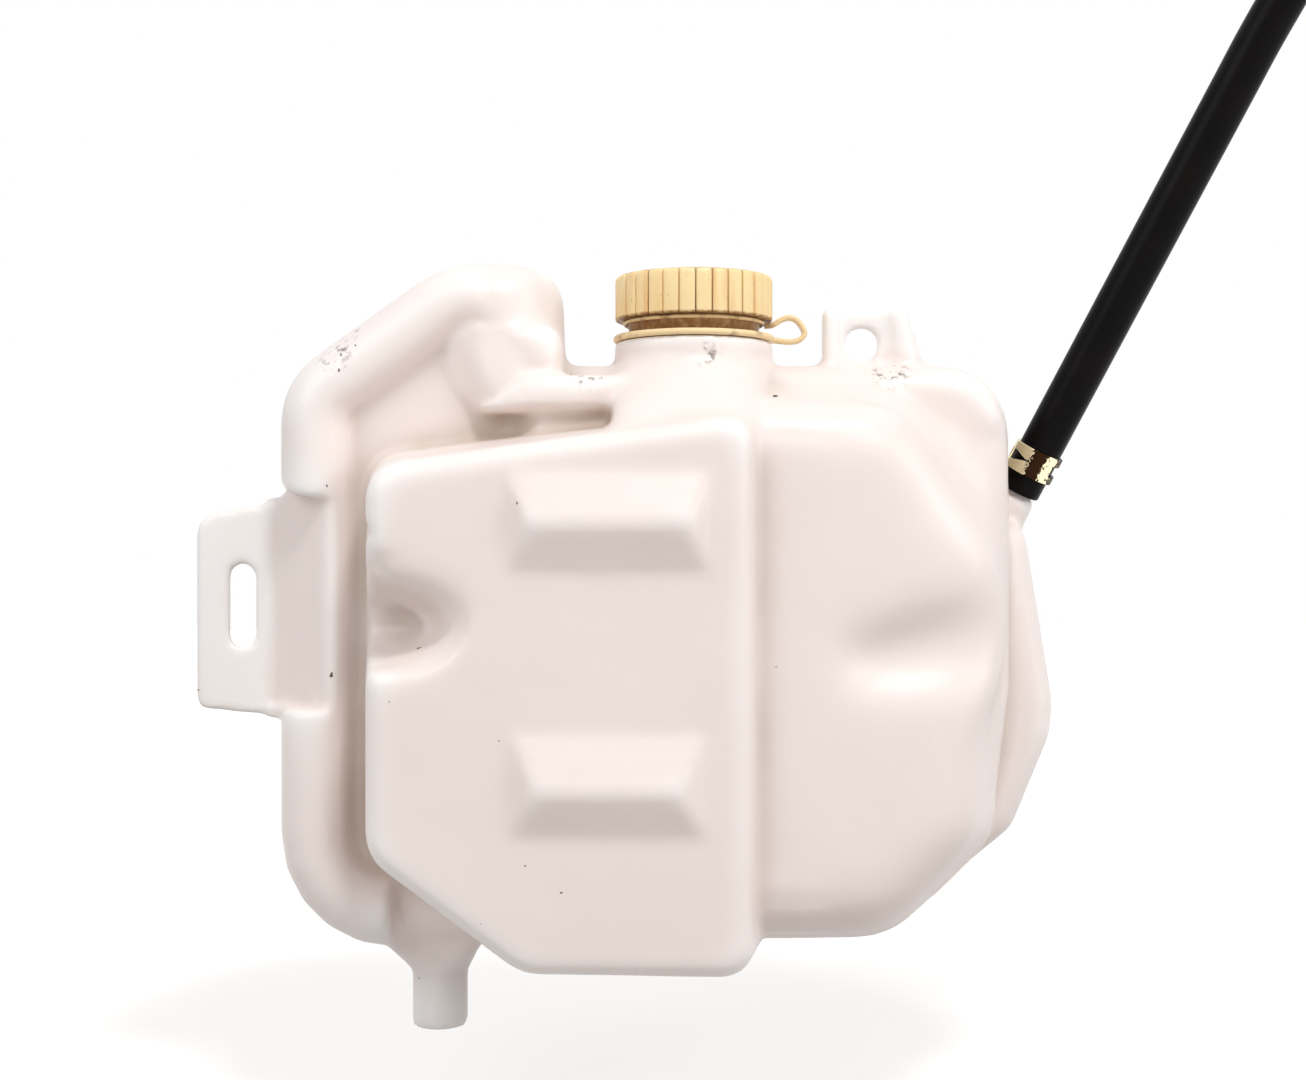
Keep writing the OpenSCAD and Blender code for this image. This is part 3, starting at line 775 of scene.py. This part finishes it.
def bumped(tree, height, strength, distance, under=None):
    inputs = {"Height": height, "Strength": strength, "Distance": distance}
    if under is not None:
        inputs["Normal"] = under
    return addNode(tree, "ShaderNodeBump", {}, inputs).outputs["Normal"]


def shaded(tree, output, values):
    shader = addNode(tree, "ShaderNodeBsdfPrincipled", {}, values)
    tree.links.new(shader.outputs["BSDF"], output.inputs["Surface"])


tankLook = {
    "colour": "#F0E5E0",
    "tint": "#E8D8D2",       # where the wall is thicker
    # painted highlight: the colour of the raised edges
    "edge": "#FAF5F2",
    # painted shade, laid in the creases and hollows
    "crease": "#BAA797",
    "grimy": "#6F625B",
    "roughness": 0.38,
    "glow": 0.2,
    "glowReach": (0.010, 0.008, 0.007),
    # how hollow the skin is where the painted crease shade starts and is whole, and where the painted edge
    # highlight starts and is whole
    "hollow": (0.515, 0.76),
    "raised": (0.47, 0.3),
    "cloudSize": 35.7,
    "tintSize": 111.0,
    "speckSize": 2.38,
    "waveSize": 22.2,
    "grainSize": 1.11,       # real wax grain is finer than the render shows
    "seam": (0.0009, 0.0002),
    # old smears of road dirt: a place on the tank and how far each spreads
    "smears": [((-0.0496, -0.0260, -0.0054), 0.0060), ((-0.0854, -0.0240, -0.0105), 0.0085),
               ((-0.1640, -0.0180, -0.0050), 0.0080), ((-0.1600, -0.0160, 0.0010), 0.0050),
               ((0.0080, -0.0100, -0.0100), 0.0090)],
}


def tankPlastic(look):
    # polyethylene blow-moulded in its natural colour: milky, waxy, light soaks in; its creases are painted
    # in shade and its raised edges painted lighter as a highlight
    material, tree, output = newMaterial("polyethylene blow-moulded")
    place = objectPlace(tree)
    crease = addNode(tree, "ShaderNodeAttribute", {"attribute_name": "hollow"}).outputs["Fac"]
    cloud = noise(tree, place, look["cloudSize"], 4.0)
    speck = noise(tree, place, look["speckSize"], 4.0)
    # shade is painted where the skin is hollow, in patches
    patches = masked(tree, cloud, 0.3, 0.7, 0.65, 1.0)
    creaseShade = maths(tree, "MULTIPLY", masked(tree, crease, *look["hollow"]), patches)
    # raised edges are painted lighter: a painted highlight
    raised = masked(tree, crease, *look["raised"])
    colour = blended(tree, raised, look["colour"], look["edge"])
    tint = masked(tree, noise(tree, place, look["tintSize"]), 0.35, 0.7, 0.0, 0.35)
    colour = blended(tree, tint, colour, look["tint"])
    # the painted crease shade goes on
    colour = blended(tree, creaseShade, colour, look["crease"])
    for centre, spread in look["smears"]:
        apart = vectors(tree, "DISTANCE", place, centre)["Value"]
        near = masked(tree, apart, spread, spread * 0.3)
        patchy = maths(tree, "MULTIPLY", near, masked(tree, speck, 0.5, 0.68, 0.0, 0.85))
        colour = blended(tree, patchy, colour, look["grimy"])
    # the slow waves of blow moulding, under a fine waxy grain
    waves = bumped(tree, noise(tree, place, look["waveSize"], 1.0), 0.22, 0.002)
    # the mould's parting line: a faint raised seam where the two halves met
    deep = addNode(tree, "ShaderNodeSeparateXYZ", {}, {"Vector": place}).outputs["Y"]
    seam = masked(tree, maths(tree, "ABSOLUTE", deep), *look["seam"])
    seamed = bumped(tree, seam, 0.5, 0.0005, waves)
    grained = bumped(tree, noise(tree, place, look["grainSize"]), 0.07, 0.0003, seamed)
    shaded(tree, output, {
        "Base Color": colour, "Roughness": look["roughness"], "IOR": 1.51,
        "Subsurface Weight": look["glow"], "Subsurface Radius": look["glowReach"], "Subsurface Scale": 1.0,
        "Normal": grained,
    })
    return material


capLook = {
    "pale": "#FCE4B0",
    "warm": "#F6D294",
    # painted shade on the collar under the skirt
    "collar": "#B08A68",
    "streak": "#E2A868",
    "groove": "#7B5430",
    "rim": "#8E6238",
    "dots": "#8A6A45",
    "roughness": 0.45,
    "cloudSize": 16.7,
    "speckSize": 2.0,
    "streakSize": 3.33,
    "grainSize": 0.714,      # spark-eroded moulds leave less, but it has to show
}


def grooveDirt(tree, radius, height, turn):
    # how dark the floors of the grooves are: more so low down, and each holds its own share of dirt
    floor = cap["grooveFloor"]
    groove = maths(tree, "FLOOR", maths(tree, "MULTIPLY", turn, cap["ribs"] / (2 * math.pi)))
    share = addNode(tree, "ShaderNodeTexWhiteNoise", {"noise_dimensions": "1D"}, {"W": groove})
    inside = masked(tree, radius, floor + 0.0005, floor + 0.0001)
    outside = masked(tree, radius, floor - 0.0020, floor - 0.0004)
    low = masked(tree, height, cap["top"] + 0.002, cap["skirt"], 0.6, 1.0)
    here = maths(tree, "MULTIPLY", maths(tree, "MULTIPLY", inside, outside), low)
    return maths(tree, "MULTIPLY", here, masked(tree, share.outputs["Value"], 0.2, 0.8, 0.15, 0.95))


def capPlastic(look):
    # polypropylene injection-moulded, yellowed by heat, with brown dirt between the ribs and painted shade
    # on the collar
    material, tree, output = newMaterial("polypropylene injection-moulded, aged")
    place = objectPlace(tree)
    axis = (*tank["neckAxis"], 0.0)
    flat = vectors(tree, "MULTIPLY", place, (1.0, 1.0, 0.0))[0]
    radius = vectors(tree, "DISTANCE", flat, axis)["Value"]
    height = addNode(tree, "ShaderNodeSeparateXYZ", {}, {"Vector": place}).outputs["Z"]
    cloud = noise(tree, place, look["cloudSize"], 4.0)
    speck = noise(tree, place, look["speckSize"], 3.0)
    colour = blended(tree, cloud, look["pale"], look["warm"])
    # the collar under the ribs is painted in shade, as the skirt above shades it, in patches
    collar = masked(tree, height, cap["skirt"] + 0.0003, cap["skirt"] - 0.0006)
    collarShade = maths(tree, "MULTIPLY", collar, masked(tree, cloud, 0.25, 0.75, 0.5, 1.0))
    colour = blended(tree, collarShade, colour, look["collar"])
    tall = vectors(tree, "MULTIPLY", place, (1.0, 1.0, 0.08))[0]
    streak = noise(tree, tall, look["streakSize"], 3.0)
    colour = blended(tree, masked(tree, streak, 0.5, 0.72, 0.0, 0.55), colour, look["streak"])
    fromAxis = vectors(tree, "SUBTRACT", place, axis)[0]
    apart = addNode(tree, "ShaderNodeSeparateXYZ", {}, {"Vector": fromAxis}).outputs
    turn = maths(tree, "ARCTAN2", apart["Y"], apart["X"])
    colour = blended(tree, grooveDirt(tree, radius, height, turn), colour, look["groove"])
    rim = maths(tree, "MULTIPLY", masked(tree, height, cap["skirt"] + 0.0009, cap["skirt"] + 0.0002),
                masked(tree, speck, 0.35, 0.6, 0.4, 0.9))
    colour = blended(tree, rim, colour, look["rim"])
    lower = masked(tree, height, 0.019, 0.008, 0.15, 0.7)
    dots = maths(tree, "MULTIPLY", masked(tree, speck, 0.66, 0.74), lower)
    colour = blended(tree, dots, colour, look["dots"])
    shaded(tree, output, {
        "Base Color": colour, "Roughness": look["roughness"], "IOR": 1.49,
        "Subsurface Weight": 0.1, "Subsurface Radius": (0.003, 0.002, 0.001), "Subsurface Scale": 1.0,
        "Normal": bumped(tree, noise(tree, place, look["grainSize"]), 0.12, 0.0002),
    })
    return material


tetherLook = {"colour": "#F2D8A6", "dirt": "#9C7A55", "roughness": 0.42, "cloudSize": 5.56,
              "grainSize": 0.714}


def tetherPlastic(look):
    # the same polypropylene as a thin flexible strap, with dirt in patches
    material, tree, output = newMaterial("polypropylene strap, moulded")
    place = objectPlace(tree)
    dirt = masked(tree, noise(tree, place, look["cloudSize"], 4.0), 0.52, 0.72, 0.0, 0.75)
    shaded(tree, output, {
        "Base Color": blended(tree, dirt, look["colour"], look["dirt"]), "Roughness": look["roughness"],
        "IOR": 1.49, "Normal": bumped(tree, noise(tree, place, look["grainSize"]), 0.12, 0.0002),
    })
    return material


rubberLook = {
    # bare and dusty colour, roughness and specular level
    "hose": ("#090707", "#15100E", 0.36, 0.06),
    "seal": ("#1B1A1A", "#2E2C2B", 0.6, 0.4),
    "dustSize": 14.3,
    "grainSize": 0.909,
}


def rubber(name, look, part):
    # carbon-black EPDM: nearly black, matt, with a dusty bloom in faint patches
    bare, dusty, roughness, sheen = look[part]
    material, tree, output = newMaterial(name)
    place = objectPlace(tree)
    dust = masked(tree, noise(tree, place, look["dustSize"], 5.0), 0.45, 0.8, 0.0, 0.5)
    shaded(tree, output, {
        "Base Color": blended(tree, dust, bare, dusty), "Roughness": roughness, "IOR": 1.5,
        "Specular IOR Level": sheen,
        "Normal": bumped(tree, noise(tree, place, look["grainSize"]), 0.1, 0.0002),
    })
    return material


# the dark colour is a painted reflection, laid in bands across the clamp
clampLook = {"zinc": "#EFE2BC", "darkReflection": "#2E1C12", "shiny": 0.2, "dull": 0.42, "raggedSize": 1.11,
             "grainSize": 1.43}


def clampSteel(look):
    # spring steel, zinc-plated and yellow-passivated: a warm mirror-like band, with dark reflections
    # painted on it in bands
    material, tree, output = newMaterial("spring steel zinc-plated")
    place = objectPlace(tree)
    offset = vectors(tree, "SUBTRACT", place, clampMiddle)[0]
    across = vectors(tree, "DOT_PRODUCT", offset, clampSide)["Value"]
    rough = masked(tree, noise(tree, place, look["raggedSize"], 3.0), 0.3, 0.7, -0.12, 0.12)
    # -1 and 1 are the two sides of the band, with ragged borders between the zinc colour and the painted
    # dark reflections
    ragged = maths(tree, "ADD", maths(tree, "DIVIDE", across, clamp["inner"] + clamp["thick"]), rough)
    # painted dark reflections: one band down the middle and one along a side
    middle = maths(tree, "MULTIPLY", masked(tree, ragged, -0.40, -0.28), masked(tree, ragged, 0.36, 0.24))
    darkReflection = maths(tree, "MAXIMUM", middle, masked(tree, ragged, 0.62, 0.74))
    shaded(tree, output, {
        "Base Color": blended(tree, darkReflection, look["zinc"], look["darkReflection"]), "Metallic": 1.0,
        "Roughness": masked(tree, darkReflection, 0.0, 1.0, look["shiny"], look["dull"]),
        "Normal": bumped(tree, noise(tree, place, look["grainSize"]), 0.1, 0.0002),
    })
    return material


dirtLook = {"dark": "#3B2F28", "dusty": "#7A6656", "roughness": 0.9, "crumbSize": 0.667}


def driedDirt(look):
    # specks of dried road dirt stuck to the skin: dark, dull and crumbly
    material, tree, output = newMaterial("road dirt, dried on")
    crumbs = noise(tree, objectPlace(tree), look["crumbSize"], 3.0)
    shaded(tree, output, {
        "Base Color": blended(tree, crumbs, look["dark"], look["dusty"]), "Roughness": look["roughness"]})
    return material


hoseRubber = rubber("EPDM rubber, extruded hose", rubberLook, "hose")
finishPiece(tankPiece, "root", "tank_plastic", tankPlastic(tankLook), "tank_body")
finishPiece(capPiece, "cap", "cap_plastic", capPlastic(capLook), "filler_cap")
finishPiece(tetherPiece, "tether", "tether_plastic", tetherPlastic(tetherLook), "cap_tether")
finishPiece(clampPiece, "root", "clamp_steel", clampSteel(clampLook), "hose_clamp")
finishPiece(hosePiece, "root", "hose_rubber", hoseRubber, "overflow_hose")
finishPiece(fleckPiece, "root", "tank_plastic", driedDirt(dirtLook))
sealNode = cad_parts["cap_seal"]
sealNode.data.materials.clear()
sealNode.data.materials.append(rubber("EPDM rubber, die-cut disc", rubberLook, "seal"))
print("materials given")

# floor, backdrop and light
studio = {
    "floorDrop": -0.245,
    "floorSize": 3.0,
    "shadowMiddle": (-0.06, 0.0),
    "shadowReach": (0.22, 0.42),   # the floor is plain white beyond this distance from the middle
    "shadowGlow": 0.66,
    "paper": "#BDBAB8",            # what the paper reflects on to the object from below
    "world": 0.42,
    "lampTarget": (-0.06, 0.0, -0.08),
    # each lamp's place, width and power
    "lamps": {
        "keyLamp": ((0.18, -0.62, 0.86), 0.26, 6.2),
        "leftLamp": ((-0.85, -0.65, 0.50), 0.7, 3.6),
        "rightLamp": ((0.90, -0.50, 0.30), 0.7, 3.6),
    },
}


def looking(tree):
    # 1 for the camera, and for what metal, gloss and glass show of the surroundings
    path = addNode(tree, "ShaderNodeLightPath").outputs
    shiny = maths(tree, "MAXIMUM", path["Is Glossy Ray"], path["Is Transmission Ray"])
    return maths(tree, "MAXIMUM", path["Is Camera Ray"], shiny)


def paleSurface(spec):
    # white paper: the camera sees it white, apart from the shadow under and behind the object
    material, tree, output = newMaterial("studio paper, white")
    middle = (*spec["shadowMiddle"], spec["floorDrop"])
    apart = vectors(tree, "DISTANCE", objectPlace(tree), middle)["Value"]
    glow = masked(tree, apart, *spec["shadowReach"], spec["shadowGlow"], 1.0)
    shade = addNode(tree, "ShaderNodeBsdfDiffuse", {}, {"Color": srgb(spec["paper"])})
    white = addNode(tree, "ShaderNodeEmission", {},
                    {"Color": (1, 1, 1, 1), "Strength": maths(tree, "MULTIPLY", looking(tree), glow)})
    both = addNode(tree, "ShaderNodeAddShader", {}, {0: shade.outputs[0], 1: white.outputs[0]})
    tree.links.new(both.outputs[0], output.inputs["Surface"])
    return material


def floorMesh(half, height):
    return [(x * half, y * half, height) for x, y in ((-1, -1), (1, -1), (1, 1), (-1, 1))], [(0, 1, 2, 3)]


floor = meshObject("floor", *floorMesh(studio["floorSize"], studio["floorDrop"]), smooth=False)
floor.data.materials.append(paleSurface(studio))

world = bpy.data.worlds.new("studio")
scene.world = world
world.use_nodes = True
world.node_tree.nodes.clear()
worldOut = addNode(world.node_tree, "ShaderNodeOutputWorld")
worldStrength = addNode(world.node_tree, "ShaderNodeMapRange", {},
                        {"Value": looking(world.node_tree), "To Min": studio["world"], "To Max": 1.0})
background = addNode(world.node_tree, "ShaderNodeBackground", {},
                     {"Color": (1, 1, 1, 1), "Strength": worldStrength.outputs[0]})
world.node_tree.links.new(background.outputs[0], worldOut.inputs["Surface"])


def areaLamp(name, place, target, size, power):
    lamp = bpy.data.objects.new(name, bpy.data.lights.new(name, "AREA"))
    lamp.data.shape = "DISK"
    lamp.data.size = size
    lamp.data.energy = power
    lamp.location = place
    lamp.rotation_euler = (Vector(target) - Vector(place)).to_track_quat("-Z", "Y").to_euler()
    scene.collection.objects.link(lamp)


for lampName, (lampPlace, lampSize, lampPower) in studio["lamps"].items():
    areaLamp(lampName, lampPlace, studio["lampTarget"], lampSize, lampPower)

print("pieces finished")
